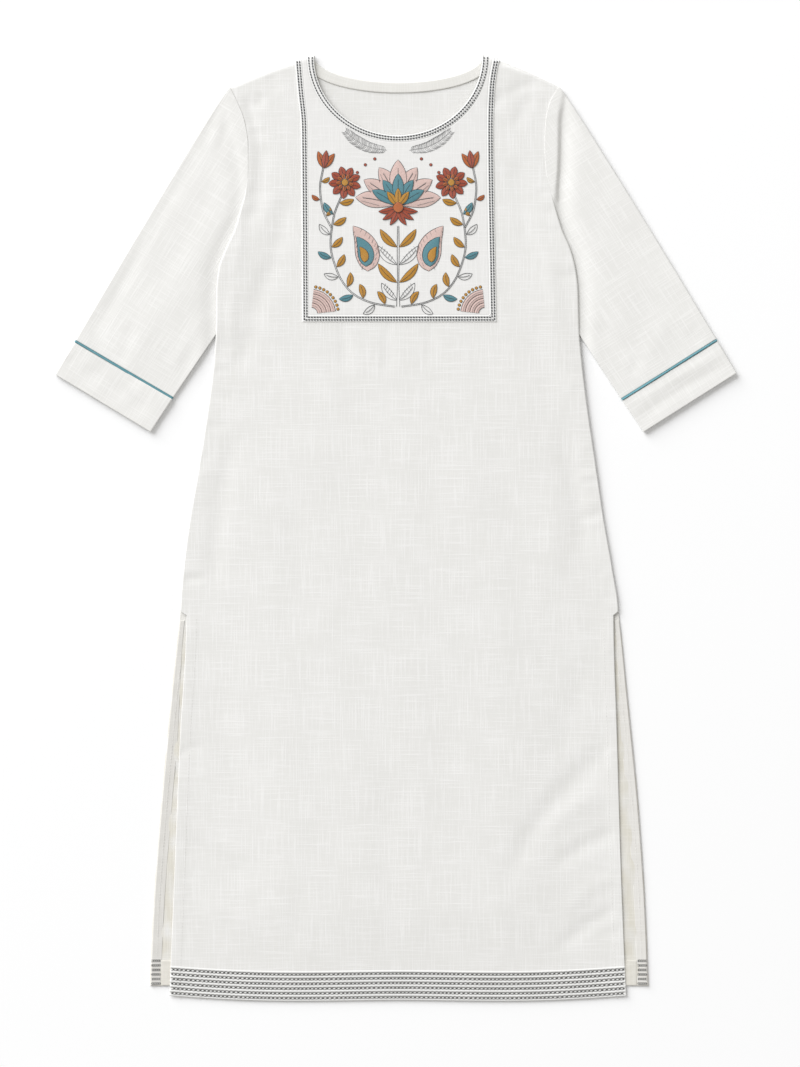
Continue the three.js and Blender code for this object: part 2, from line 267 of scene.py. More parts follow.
def clothMaterial(name, base, light, dark, slubShow, bump, quilted=(), paintedWarmShade=None):
    # plain-woven slub linen-cotton, washed: matt, with thick threads that catch the light both ways
    material, tree, shader = newMaterial(name, slubCloth["roughness"], 1.45, slubCloth["sheen"])
    shader.inputs["Specular IOR Level"].default_value = 0.25
    shader.inputs["Sheen Roughness"].default_value = 0.6
    plane = addNode(tree, "ShaderNodeUVMap", {"uv_map": "cloth"}).outputs["UV"]
    thin, long = 1000 / slubCloth["slubWidth"], 1000 / slubCloth["slubLength"]
    streaks = []
    for scale, seed, low in (((thin, long, 1), 0.0, 0.50), ((long, thin, 1), 7.3, 0.52)):
        # thick threads one way: noise drawn out along the thread
        stretch = {"Vector": plane, "Scale": scale, "Location": (seed, seed, seed)}
        drawn = addNode(tree, "ShaderNodeMapping", stretch)
        noise = addNode(tree, "ShaderNodeTexNoise", {
            "noise_dimensions": "2D", "Vector": drawn.outputs["Vector"], "Scale": 1.0, "Detail": 2.0,
            "Roughness": 0.55})
        streaks.append(rangeNode(tree, noise.outputs["Fac"], low, low + 0.3))
    slub = mathNode(tree, "ADD", *streaks)
    patch = addNode(tree, "ShaderNodeTexNoise", {
        "noise_dimensions": "2D", "Vector": plane, "Scale": 1000 / slubCloth["patch"], "Detail": 3.0})
    mixed = mathNode(tree, "MULTIPLY_ADD", patch.outputs["Fac"], 0.7, slub)
    tone = rangeNode(tree, mixed, 0.30, 1.05, 0.5 - slubShow, 0.5 + slubShow)
    shown = mixNode(tree, 0.5, base, mixNode(tree, tone, dark, light))
    if paintedWarmShade:
        # painted warm shade: part of the piece is multiplied by a warm tint, as far as an attribute says
        attribute, shade = paintedWarmShade
        share = addNode(tree, "ShaderNodeAttribute", {"attribute_name": attribute}).outputs["Fac"]
        shown = mixNode(tree, share, shown, shade, "MULTIPLY")
    # the weave itself: two crossed waves a thread apart
    split = addNode(tree, "ShaderNodeSeparateXYZ", {"Vector": plane})
    pitch = 2 * np.pi * 1000 / slubCloth["threadPitch"]
    waves = [mathNode(tree, "SINE", mathNode(tree, "MULTIPLY", split.outputs[axis], pitch)) for axis in "XY"]
    top = mathNode(tree, "MULTIPLY_ADD", mathNode(tree, "MULTIPLY", *waves), slubCloth["weave"], slub)
    for attribute, rowPitch, start, band, rise, ridgeHighlight in quilted:
        # rows of stitching pull the cloth down and leave raised lines between them, with a painted highlight
        # on the raised lines
        away = addNode(tree, "ShaderNodeAttribute", {"attribute_name": attribute}).outputs["Fac"]
        shifted = mathNode(tree, "SUBTRACT", away, start)
        wave = mathNode(tree, "COSINE", mathNode(tree, "MULTIPLY", shifted, 2 * np.pi / rowPitch))
        window = rangeNode(tree, mathNode(tree, "ABSOLUTE", shifted), band, band + rowPitch * 0.3, 1.0, 0.0)
        ridge = mathNode(tree, "MULTIPLY", wave, window)
        top = mathNode(tree, "MULTIPLY_ADD", ridge, rise, top)
        # painted highlight: the ridges are mixed towards near-white
        shown = mixNode(tree, rangeNode(tree, ridge, 0.0, 0.9, 0.0, ridgeHighlight), shown, "#fdfdfb")
    finishShader(tree, shader, shown, 1.0, bump, top)
    return material


def threadMaterial(name, base, dark, roughness=0.6, sheen=0.3):
    # stranded cotton: a soft sheen and a slight change of shade from strand to strand
    material, tree, shader = newMaterial(name, roughness, 1.5, sheen)
    place = addNode(tree, "ShaderNodeTexCoord", {}).outputs["Object"]
    grain = {"Vector": place, "Scale": 1000 / 1.6, "Detail": 2.0}
    noise = addNode(tree, "ShaderNodeTexNoise", grain).outputs["Fac"]
    finishShader(tree, shader, mixNode(tree, noise, dark, base), 0.6, 0.15, noise)
    return material


hemRows = {"count": 6, "pitch": 5.9, "lowest": 3.8}
frameSpacing = 3.3 * mm  # between the two rows round the chest panel
hemMiddle = (hemRows["lowest"] + hemRows["pitch"] * (hemRows["count"] - 1) / 2) * mm
hemBand = hemRows["pitch"] * hemRows["count"] / 2 * mm
# each: attribute, pitch, middle, half width of the band, rise of the ridges and how strong the painted
# highlight on them is
hemQuilt = ("hemAway", hemRows["pitch"] * mm, hemMiddle, hemBand, 5.0, 0.85)
frameQuilt = [(away, frameSpacing, 0.0, 1.4 * frameSpacing, 4.0, 0.9) for away in ("frameAway", "rimAway")]

bodySlub = clothMaterial("slub linen-cotton", "#ecebe8", "#f3f2f0", "#e3e2de", 0.5, 0.07, quilted=[hemQuilt])
sleeveSlub = clothMaterial("slub linen-cotton, sleeve", "#efeeeb", "#f6f5f2", "#e6e5e1", 0.5, 0.08)
yokeSlub = clothMaterial("close linen-cotton, chest panel", "#ecebe9", "#f3f2f0", "#e4e3e0", 0.4, 0.05,
                         quilted=frameQuilt)
# the inner face gets painted warm shade beside the slits
insideSlub = clothMaterial("slub linen-cotton, inner face", "#ebeae7", "#f0efed", "#e2e1dd", 0.5, 0.08,
                           paintedWarmShade=("inSlit", "#f4f1e8"))
print("stage: materials made")

# ---- The body's cut

slitFront = table(
    "up left right",
    (6, 285.3, 282.2), (140, 279.7, 276.6), (325, 272.2, 271.0), (479, 264.1, 266.6))
slitBack = table(
    "up left right",
    (18.4, 309.8, 310.0), (115, 305.4, 306.0), (240, 296.0, 297.5), (386, 282.2, 283.0), (474, 272.8, 274.0))
slitTop = table("up left right", (482.5, 271.2, 272.2))  # above the slit the front reaches the back's edge
sideSeam = table(
    "up left right",
    (539, 267.3, 264.4), (600, 259.3, 253.8), (655, 249.8, 245.8), (746, 235.6, 232.6), (797, 229.4, 226.6),
    (829, 227.6, 223.9))
underarmFold = table(
    "up left right",
    (883, 226.9, 222.3), (908, 224.4, 219.4), (933, 215.7, 213.0), (956, 205.1, 203.2), (982, 197.0, 194.9))
armhole = table(
    "up left right",
    (829, 227.6, 223.9), (858, 221.3, 219.0), (895, 210.1, 209.0), (939, 200.1, 199.0), (976, 193.9, 193.0),
    (1005, 190.8, 188.9), (1033, 188.4, 183.5), (1063, 188.6, 181.8), (1093, 193.3, 183.3),
    (1114, 201.4, 188.0), (1134, 211.3, 199.5))
backHemUp = slitBack[0]["up"]
neck = {"up": 1172.5, "halfWidth": 104.5, "frontDepth": 98, "backDepth": 32.3}
frontEdge = slitFront + slitTop + sideSeam + underarmFold + armhole[5:]
backEdge = slitBack + sideSeam + armhole[1:]

bodyPanel = {
    "step": 4.4,          # mm between grid points
    "wall": 0.8,          # mm, cloth
    "middleHeight": 5.4,  # mm, top of the front over the middle of the body
    "hemHeight": 2.7,     # mm, top of the front along its hem
    "foldRise": 0.62,     # how strongly the folds stand
    "backHeight": 1.0,    # mm, top of the back panel
    "backStep": 6.0,
}


def halfPanel(side, rows, depth, hemAt, bow, step, width=285.0, outerNeck=None, outerTop=1134.0):
    # one half of a body panel: straight rows between the middle (or neck) line and the side line, on a grid.
    # Under the neck the rows climb evenly, beside it they follow the ellipse's own angle.
    sign = sideSign[side]
    neckLow = neck["up"] - depth
    outerNeck = outerNeck or neckLow - (neckLow - 1074.5) * 0.4
    rise = spaced(neckLow - hemAt(0.0), step, fine=(0.3, 0.8, 1.6, 3.0)) / (neckLow - hemAt(0.0))
    innerUp = hemAt(0.0) + (neckLow - hemAt(0.0)) * rise
    outerUp = hemAt(1.0) + (outerNeck - hemAt(1.0)) * rise
    angle = np.linspace(0, np.pi / 2, 46)[1:]
    innerUp = np.concatenate([innerUp, neck["up"] - depth * np.cos(angle)])
    innerX = np.concatenate([np.zeros(len(rise)), neck["halfWidth"] * np.sin(angle)]) * sign + neckMiddle
    innerUp[-1] = shoulderTop - 0.5
    outerUp = np.concatenate([outerUp, outerNeck + (outerTop - outerNeck) * (1 - np.cos(angle))])
    outerX = throughRows(rows, side, outerUp) * sign
    u = spaced(width, step, fine=(0.4, 1.0, 2.0), fineEnd=(0.4, 1.0, 1.8, 2.8, 4.2)) / width
    x = innerX[:, None] * (1 - u) + outerX[:, None] * u
    up = innerUp[:, None] * (1 - u) + outerUp[:, None] * u
    up = up + bow(u) * (1 - smooth(up, 0, 130))
    onShoulder = smooth(innerUp, neckLow, neck["up"])[:, None]
    up = up + onShoulder * 2.2 * np.sin(np.pi * u * width / 285.0)
    return x, up


def weldHalves(name, heightOf, attributesOf, *cut, **cutOptions):
    # both halves in one mesh, merged along the middle line
    points, faces, attributes, offset = [], [], {}, 0
    for side in sideSign:
        x, up = halfPanel(side, *cut, **cutOptions)
        points.append(np.stack([x, up, heightOf(x, up)], -1).reshape(-1, 3))
        quads = gridFaces(*x.shape)
        faces.append((quads[:, ::-1] if side == "left" else quads) + offset)
        offset += x.size
        for key, values in attributesOf(x, up).items():
            attributes.setdefault(key, []).append(values.ravel())
    points = np.concatenate(points)
    attributes = {key: np.concatenate(value) for key, value in attributes.items()}
    piece = makeMesh(name, toFrame(points), np.concatenate(faces), points[:, :2] * mm, attributes)
    joined = piece.modifiers.new("weld", "WELD")
    joined.merge_threshold = 0.02 * mm
    return piece


# ---- Front panel

# long folds and dents of the front: from x, up to x, up, half width, rise (below 0 is a trough), bow
frontFolds = [
    (-188, 1123, -172, 1068, 9, -1.6, 4), (-174, 1070, -186, 955, 11, -1.7, -6),
    (-168, 1125, -178, 1108, 7, -0.9, 0), (-160, 1150, -150, 1128, 8, -0.7, 0),
    (-142, 995, -152, 924, 12, -1.2, 0), (-152, 924, -184, 833, 13, -1.5, 4),
    (-184, 833, -200, 784, 12, -1.0, 0), (-206, 1000, -203, 900, 7, 0.9, -5),
    (-205, 890, -206, 800, 6, 0.8, 2), (-71, 842, -66, 780, 8, -0.8, 0), (-14, 842, -14, 775, 8, -0.8, 0),
    (38, 842, 40, 790, 8, -0.7, 0), (-205, 700, -232, 505, 12, -1.3, 5),
    (-170, 700, -150, 560, 20, 0.6, 0), (-120, 640, -135, 420, 24, -0.6, 0),
    (175, 1144, 132, 1126, 8, -1.1, 0), (132, 1126, 108, 1106, 8, -0.9, 0),
    (163, 1125, 142, 1082, 9, -0.9, 0), (150, 1050, 163, 930, 12, -0.8, 5),
    (186, 930, 196, 840, 9, 0.8, 0), (170, 860, 186, 740, 14, -0.8, 0), (203, 696, 230, 545, 12, -1.4, -4),
    (188, 640, 196, 520, 14, 0.7, 0), (120, 700, 150, 500, 22, -0.6, 0),
    (262, 316, 135, 150, 15, -1.7, 12), (272, 211, 190, 165, 10, -1.3, 4), (272, 115, 196, 64, 9, -1.3, 3),
    (258, 260, 160, 190, 12, 0.8, 8), (272, 160, 205, 112, 10, 0.8, 3), (230, 420, 200, 300, 16, -0.8, 0),
    (-268, 200, -183, 145, 12, -1.3, -4), (-262, 300, -205, 215, 14, 0.7, -4),
    (-250, 120, -170, 90, 12, 0.6, 0), (-225, 400, -190, 260, 18, -0.8, 6),
    (-60, 330, -40, 120, 26, 0.7, 0), (50, 420, 70, 160, 28, -0.7, 0), (10, 700, -5, 520, 26, 0.6, 0),
    (80, 760, 100, 600, 20, 0.5, 0), (-90, 780, -100, 640, 18, 0.5, 0), (-20, 250, 0, 60, 18, -0.5, 0),
    (120, 140, 135, 50, 14, 0.6, 0), (-120, 150, -135, 52, 14, -0.6, 0),
]
# height of the front's top beside its edge, and the radius it rolls over with
frontSideLevel = table(
    "up top roll",
    (0, 2.7, 0.6), (60, 3.0, 0.6), (300, 3.4, 0.7), (440, 3.7, 0.7), (560, 3.9, 1.0), (800, 4.8, 1.3),
    (850, 6.3, 1.8), (960, 6.8, 2.0), (1000, 6.2, 1.1), (1030, 5.6, 0.7), (1134, 4.6, 0.7))


def puckerRows(side, lowUp, highUp, count, seed):
    # short uneven puckers that run in from a seam, more or less square to it
    rng = np.random.default_rng(seed)
    rows = []
    for _ in range(count):
        up = rng.uniform(lowUp, highUp)
        edge = float(throughRows(frontEdge, side, np.array(up)))
        length = rng.uniform(9, 34)
        start = sideSign[side] * (edge - rng.uniform(0, 3))
        end = sideSign[side] * (edge - length)
        endUp = up + rng.uniform(-9, 5)
        rows.append((start, up, end, endUp, rng.uniform(3.2, 5.5), rng.uniform(-0.75, 0.55), 0))
    return rows


# between two heights, how many, and the seeds for the left and the right side
puckerBands = [(460, 830, 34, 3, 4), (20, 450, 16, 5, 6), (830, 1120, 14, 7, 8)]
puckers = []
for lowUp, highUp, count, *seeds in puckerBands:
    for side, seed in zip(sideSign, seeds):
        puckers += puckerRows(side, lowUp, highUp, count, seed)


def hemLine(u):
    return 0.5 + 5.5 * u


def hemBow(u):
    return -4.0 * np.sin(np.pi * u ** 1.25)


def neckAway(x, up, depth):
    # distance outside the neck's half ellipse, from its level function and slope
    dx = (x - neckMiddle) / neck["halfWidth"]
    dy = (up - neck["up"]) / depth
    level = np.sqrt(dx ** 2 + dy ** 2)
    slope = np.hypot(dx / neck["halfWidth"], dy / depth) / np.maximum(level, 1e-9)
    return (level - 1) / slope


def hemEdge(x):
    # how high the front's hem lies at a distance from the middle
    u = np.clip(np.abs(x) / 285, 0, 1)
    return hemLine(u) + hemBow(u)


def shoulderAway(x, up):
    # distance below the straight line from the neck's corner to the shoulder tip
    run, fall = 107.0, shoulderTop - armhole[-1]["up"]
    out = np.abs(x - neckMiddle) - neck["halfWidth"]
    return ((shoulderTop - up) * run - out * fall) / np.hypot(run, fall)


def sideAway(x, up):
    # distance in from the front's side line, measured level
    return np.clip(outline(frontEdge, x, up) - np.abs(x), 0, None)


def frontTop(x, up):
    # height of the front: its side level, the loft in the middle, folds and puckers, less the rolled edges
    toSide = sideAway(x, up)
    across = np.clip(np.abs(x) / 260, 0, 1)
    sideTop = throughRows(frontSideLevel, "top", up)
    top = bodyPanel["middleHeight"] + (sideTop - bodyPanel["middleHeight"]) * smooth(across, 0.45, 0.98)
    top = bodyPanel["hemHeight"] + (top - bodyPanel["hemHeight"]) * smooth(up, 10, 120)
    folds = creaseHeight(x, up, frontFolds) + undulation(x, up, 11, 95, 0.10)
    folds += undulation(x, up, 12, 34, 0.035)
    folds = folds * (0.35 + 0.65 * smooth(toSide, 0, 14)) * (0.3 + 0.7 * smooth(up, 25, 60))
    top = top + bodyPanel["foldRise"] * (folds + creaseHeight(x, up, puckers))
    top = top + 0.35 * (1 - smooth(toSide, 10, 15)) * (1 - smooth(up, 455, 485))
    roll = edgeRoll(toSide, throughRows(frontSideLevel, "roll", up))
    edges = ((neckAway(x, up, neck["frontDepth"]), 1.0), (up - hemEdge(x), 1.2), (shoulderAway(x, up), 1.6))
    for away, radius in edges:
        roll = np.maximum(roll, edgeRoll(np.clip(away, 0, None), radius))
    return top - roll


def frontMarks(x, up):
    return {"hemAway": (up - hemEdge(x)) * mm}


front = weldHalves("frontPanel", frontTop, frontMarks, frontEdge, neck["frontDepth"], hemLine, hemBow,
                   bodyPanel["step"])
thicken(front, bodyPanel["wall"])
finishPiece(front, bodySlub, "front_body")
print("stage: front panel", len(front.data.vertices))

# ---- Back panel


def backTop(x, up):
    toSide = np.clip(outline(backEdge, x, up) - np.abs(x), 0, None)
    swell = undulation(x, up, 21, 60, 0.3) * (1 - smooth(up, 440, 500)) * smooth(toSide, 2, 20)
    seamRise = 1.2 * (1 - smooth(toSide, 0, 5)) * smooth(up, 470, 520)
    slitRise = 0.5 * (1 - smooth(up, 440, 500))
    return bodyPanel["backHeight"] + slitRise + np.clip(swell, -0.3, 0.3) + seamRise - edgeRoll(toSide, 0.5)


def backPaintedShade(x, up):
    # where the back gets painted warm shade, standing in for light bounced between the layers: beside the
    # slits, in uneven patches
    patchy = np.clip(0.7 + undulation(x, up * 0.5, 71, 18, 0.45), 0, 1)
    return {"inSlit": (1 - smooth(up, 440, 500)) * patchy}


back = weldHalves("backPanel", backTop, backPaintedShade, backEdge, neck["backDepth"],
                  lambda u: backHemUp, lambda u: 0 * u, bodyPanel["backStep"])
thicken(back, bodyPanel["wall"])
finishPiece(back, insideSlub, "back_body")
print("stage: back panel", len(back.data.vertices))

# ---- Turned edges of the back and the neck binding

turnedEdge = {
    "height": 1.75,      # mm, top of a turned edge that lies on the back
    "wall": 0.8,
    "hemDepth": 31.7,
    "hemReach": 295.4,   # mm out from the middle
    "slitWidth": 12.5,
    "slitTopWidth": 5.2,
    "slitTopUp": 472,
    "slitLift": 0.6,     # mm that the slit folds' outer edges stand above the hem turn
    "slitSlope": 0.85,   # mm that they fall to their inner edges
    "clear": 1.0,        # mm from the back's edge
    "bindingWidth": 12,
}


def turnedPiece(name, x, up, z, material, replaced, flipped=False, uv=None):
    points = np.stack([x, up, z], -1).reshape(-1, 3)
    faces = gridFaces(*x.shape)
    uv = points[:, :2] * mm if uv is None else uv
    piece = makeMesh(name, toFrame(points), faces[:, ::-1] if flipped else faces, uv)
    thicken(piece, turnedEdge["wall"])
    return finishPiece(piece, material, replaced)


def backHemTurn():
    # the turned hem: a flat band with a few soft dents and a rounded fold along the bottom
    reach = turnedEdge["hemReach"]
    across = spaced(2 * reach, 4.0, fine=(0.5, 1.2), fineEnd=(0.5, 1.2)) - reach
    climb = spaced(turnedEdge["hemDepth"], 2.5, fine=(0.4, 1.0, 1.8), fineEnd=(0.4, 1.0))
    x, rise = np.meshgrid(across, climb)
    dents = undulation(x, rise * 2, 61, 16, 0.22)
    bottom = edgeRoll(rise, 0.7)
    z = turnedEdge["height"] - bottom - edgeRoll(turnedEdge["hemDepth"] - rise, 0.6) + dents * 0.6
    return turnedPiece("backHemFold", x, backHemUp + 0.2 + rise, z, hemTurnSlub, "back_hem_turn")


def slitFoldTop(x, up):
    # the fold slopes from its outer edge down to the back's own level
    inward = np.clip(outline(backEdge, x, up) - turnedEdge["clear"] - np.abs(x), 0, turnedEdge["slitWidth"])
    fall = turnedEdge["slitSlope"] * inward / turnedEdge["slitWidth"]
    return turnedEdge["height"] + turnedEdge["slitLift"] - fall


def slitTurn(side):
    # the back's side edge turned in along the slit: it narrows towards the top of the slit
    up = spaced(turnedEdge["slitTopUp"] - 19, 3.4, fine=(0.5, 1.2), fineEnd=(0.6, 2.0)) + 19
    narrower = turnedEdge["slitTopWidth"] - turnedEdge["slitWidth"]
    width = turnedEdge["slitWidth"] + narrower * smooth(up, 300, turnedEdge["slitTopUp"])
    v = spaced(1, 0.16, fine=(0.04, 0.09), fineEnd=(0.04, 0.09))
    edge = throughRows(backEdge, side, up) - turnedEdge["clear"]
    out = edge[:, None] - width[:, None] * v
    rows = up[:, None] + 0 * out
    toEdge = v * width[:, None]
    z = slitFoldTop(out, rows) + undulation(out, rows, 63, 26, 0.08) - edgeRoll(toEdge, 0.4)
    return turnedPiece("slitFold_" + side, out * sideSign[side], rows, z, turnedEdgeSlub,
                       "back_slit_turn_" + side, flipped=side == "right")


def neckBinding():
    # the band sewn inside the back neck: it follows the back neck's half ellipse
    angle = np.linspace(-1.36, 1.36, 90)
    v = spaced(turnedEdge["bindingWidth"], 1.8, fine=(0.4, 0.9), fineEnd=(0.3, 0.6))
    edgeX = neck["halfWidth"] * np.sin(angle)
    edgeUp = -neck["backDepth"] * np.cos(angle)
    slope = np.stack([neck["backDepth"] * np.sin(angle), -neck["halfWidth"] * np.cos(angle)], -1)
    slope /= np.linalg.norm(slope, axis=1)[:, None]
    x = neckMiddle + edgeX[:, None] + slope[:, :1] * v
    up = neck["up"] + edgeUp[:, None] + slope[:, 1:] * v
    toEdge = np.minimum(v, turnedEdge["bindingWidth"] - v) + 0 * x
    z = turnedEdge["height"] - 0.25 - edgeRoll(toEdge, 0.4) + undulation(x, up, 65, 30, 0.05)
    length = lengthAlong(np.stack([edgeX, edgeUp], -1))
    uv = np.stack(np.broadcast_arrays(length[:, None], v[None]), -1).reshape(-1, 2) * mm
    return turnedPiece("neckBand", x, up, z, turnedSlub, "back_neck_binding", flipped=True, uv=uv)


turnedSlub = clothMaterial("slub linen-cotton, turned edge", "#e9e8e3", "#efede9", "#e1dfd9", 0.4, 0.06)
turnedEdgeSlub = clothMaterial("slub linen-cotton, slit edge", "#e3e1dc", "#eae8e4", "#dbd8d2", 0.4, 0.06)
hemTurnSlub = clothMaterial("slub linen-cotton, hem turn", "#e3e0d7", "#e9e6de", "#dad6cc", 0.4, 0.06)
hemFold = backHemTurn()
slitFolds = {side: slitTurn(side) for side in sideSign}
neckBand = neckBinding()
print("stage: turned edges and binding")

# ---- Sleeves, piping and cuffs

sleeveEnds = {
    "left": {"piping": ((-402.5, 819.3), (-280.8, 748.2)), "cuff": ((-427.3, 777.9), (-308.4, 706.3))},
    "right": {"piping": ((394.9, 820.5), (276.6, 746.7)), "cuff": ((419.3, 779.4), (303.7, 706.3))},
}
sleeveShape = {
    "step": 3.9,          # mm between grid points
    "wall": 0.8,
    "height": 5.2,        # mm, top of the flattened sleeve
    "roll": 1.2,          # mm, radius of its folded edges
    "edgeDrop": 1.1,      # mm that its edges lie below its middle
    "crownRise": 6.0,     # mm that the shoulder end bulges past a straight edge
    "crownLean": 0.4,
    "dropsFrom": (14, 90),  # mm from the armhole where the edges start to lie lower
    "tuck": 1.2,          # mm that the armhole end slips under the front's edge
    "underside": 0.9,     # mm, height of its underside's outer face at the edges
    "around": 268,        # mm across the top at the armhole, that the grid is spaced for
    "length": 330,        # mm from armhole to piping, likewise
}
# where the sleeve dips behind the body: x out, how deep, and how far the dip's sides reach in and out
sleeveDips = {
    "left": table(
        "up x depth reachIn reachOut",
        (829, 231, 2.0, 60, 11), (883, 230, 2.0, 60, 13), (908, 228, 1.9, 60, 13), (933, 220, 1.7, 60, 12),
        (956, 209, 1.5, 40, 11), (982, 200, 1.2, 14, 10), (1005, 198, 0.9, 8, 10), (1034, 201, 0.9, 8, 11),
        (1060, 206, 0.9, 8, 12), (1086, 213, 0.8, 8, 11), (1108, 217, 0.5, 6, 8), (1134, 219, 0.1, 5, 6)),
    "right": table(
        "up x depth reachIn reachOut",
        (829, 229, 1.9, 60, 9), (883, 227, 2.1, 60, 12), (908, 224.5, 2.2, 60, 13),
        (933, 218.5, 2.5, 60, 13), (956, 209, 2.9, 40, 13), (982, 201, 3.4, 10, 13),
        (1005, 199, 3.4, 3, 14), (1034, 200.5, 3.6, 2.6, 15), (1063, 201.5, 3.6, 2.8, 14),
        (1093, 202.0, 2.9, 3, 12), (1115, 205, 1.5, 3, 8), (1131, 207, 0.5, 3, 5), (1142, 208, 0.0, 3, 4)),
}
sleeveFolds = {
    "left": [
        (-221, 1118, -243, 1066, 6, -1.2, 0), (-243, 1066, -310, 952, 8, -0.9, 0),
        (-310, 952, -378, 828, 8, -0.9, 0), (-216, 1090, -222, 1050, 6, -0.6, 0),
        (-250, 1060, -330, 900, 16, 0.5, 0), (-232, 1010, -300, 880, 12, -0.4, 0),
        (-262, 930, -330, 810, 14, 0.4, 0), (-245, 850, -285, 780, 8, 0.6, 0),
        (-330, 840, -345, 790, 9, -0.6, 0), (-380, 850, -372, 800, 9, -0.5, 0),
    ],
    "right": [
        (226, 1090, 300, 960, 14, 0.5, 0), (300, 960, 372, 835, 12, -0.5, 0),
        (240, 1040, 330, 900, 12, -0.4, 0), (232, 930, 290, 830, 12, 0.4, 0),
        (360, 830, 376, 815, 8, -0.6, 0), (300, 800, 286, 775, 8, -0.6, 0),
        (238, 838, 300, 800, 10, -0.5, 0), (340, 850, 300, 790, 10, 0.4, 0),
    ],
}
cuffFolds = {
    "left": [
        (-405, 790, -295, 727, 7, -0.5, 0), (-340, 800, -322, 765, 7, -0.4, 0),
        (-410, 800, -405, 790, 6, -0.3, 0),
    ],
    "right": [
        (405, 790, 297, 722, 7, -0.7, 3), (398, 806, 285, 738, 5, 0.4, 0),
        (350, 772, 362, 748, 7, -0.3, 0),
    ],
}
piping = {"width": 2.6, "seam": 0.8, "foot": 4.4, "dome": 1.5}


def armholeLine(side, w):
    # the armhole seam from the shoulder tip (0) to the underarm (1)
    up = armhole[-1]["up"] + (armhole[0]["up"] - armhole[-1]["up"]) * w
    return np.stack([sideSign[side] * throughRows(armhole, side, up), up], -1)


def straightLine(ends, along, distance, w):
    ends = np.array(ends, float) + np.array(along) * distance
    return ends[0] + (ends[1] - ends[0]) * w[:, None]


def sleeveDirection(side):
    ends = sleeveEnds[side]
    run = np.mean(ends["cuff"], axis=0) - np.mean(ends["piping"], axis=0)
    return run / np.linalg.norm(run)


def tubePiece(name, side, material, start, finish, s, w, topOf, roll,
              bulge=0.0, endRoll=(0, 0), edgeDrop=0.0):
    # a flattened tube: over the top from the folded edge to the underarm, and back along the underside
    plan = start[None] * (1 - s[:, None, None]) + finish[None] * s[:, None, None]
    across = plan[:, -1] - plan[:, 0]
    width = np.linalg.norm(across, axis=-1)
    outward = -across / width[:, None]
    swell = bulge * np.sin(np.pi * s ** sleeveShape["crownLean"])[:, None] * (1 - w) ** 4
    plan = plan + swell[..., None] * outward[:, None]
    x, up = plan[..., 0], plan[..., 1]
    toEdge = np.minimum(w, 1 - w)[None] * width[:, None]
    run = np.linalg.norm(finish - start, axis=-1)
    fromStart = s[:, None] * run[None]
    toFinish = (1 - s[:, None]) * run[None]
    flatter = edgeDrop * (1 - smooth(toEdge, 0, 0.35 * width.max()))
    flatter = flatter * smooth(fromStart, *sleeveShape["dropsFrom"])
    top = topOf(x, up) - flatter - edgeRoll(toEdge, roll)
    for distance, drop in ((fromStart, endRoll[0]), (toFinish, endRoll[1])):
        if drop:
            top = top - edgeRoll(distance, drop)
    under = np.minimum(sleeveShape["underside"] + edgeRoll(toEdge, 0.6 * roll), top - 0.25)
    # the underside is coarser away from its edges
    keep = np.arange(len(w))[1:-1][::-1]
    keep = keep[(np.minimum(w, 1 - w)[keep] * width.max() < 6) | (keep % 6 == 0)]
    underside = np.stack([x[:, keep], up[:, keep], under[:, keep]], -1)
    ring = np.concatenate([np.stack([x, up, top], -1), underside], 1)
    along = sleeveDirection(side)
    uv = np.stack([ring[..., 0] * along[1] - ring[..., 1] * along[0],
                   ring[..., 0] * along[0] + ring[..., 1] * along[1]], -1).reshape(-1, 2) * mm
    faces = gridFaces(len(s), ring.shape[1], closed=True)
    if side == "left":
        faces = faces[:, ::-1]
    piece = makeMesh(name, toFrame(ring.reshape(-1, 3)), faces, uv)
    thicken(piece, sleeveShape["wall"])
    return finishPiece(piece, material, name.replace("Cloth", "").replace("Cord", ""))


def sleeveTop(side):
    def top(x, up):
        out = np.abs(x)
        dips = {key: throughRows(sleeveDips[side], key, up) for key in ("x", "depth", "reachIn", "reachOut")}
        reach = np.where(out < dips["x"], dips["reachIn"], dips["reachOut"])
        dip = dips["depth"] * np.exp(-((out - dips["x"]) / reach) ** 2)
        nearBody = np.exp(-np.clip(out - 180, 0, None) / 60)
        folds = creaseHeight(x, up, sleeveFolds[side])
        for seed, size, rise in ((31, 80, 0.08), (35, 30, 0.03)):
            folds += undulation(x, up, seed + sideSign[side], size, rise)
        raised = sleeveShape["height"] + 0.5 * nearBody
        return raised - dip + 0.7 * folds
    return top


def makeSleeve(side):
    fine = (0.4, 1.0, 1.8, 2.6, 3.8)
    w = spaced(sleeveShape["around"], sleeveShape["step"], fine, fine) / sleeveShape["around"]
    start = armholeLine(side, w) - (sideSign[side] * sleeveShape["tuck"], 0)
    finish = straightLine(sleeveEnds[side]["piping"], sleeveDirection(side), -piping["width"] / 2, w)
    length = sleeveShape["length"]
    s = np.unique(np.concatenate([np.array([0, 0.4, 0.8]) / length, np.arange(1.2, 40, 1.4) / length,
                                  np.linspace(40 / length, 1, 78), 1 - np.array([1.5, 0.6]) / length]))
    return tubePiece("sleeve_" + side + "Cloth", side, sleeveSlub, start, finish, s, w,
                     sleeveTop(side), sleeveShape["roll"], sleeveShape["crownRise"], (0.6, piping["seam"]),
                     sleeveShape["edgeDrop"])


cuff = {"across": 140, "length": 38.5, "height": 5.0, "roll": 1.4, "fine": (0.4, 1.0, 1.8, 2.4)}
cuffAcross = spaced(cuff["across"], 2.8, cuff["fine"], cuff["fine"]) / cuff["across"]


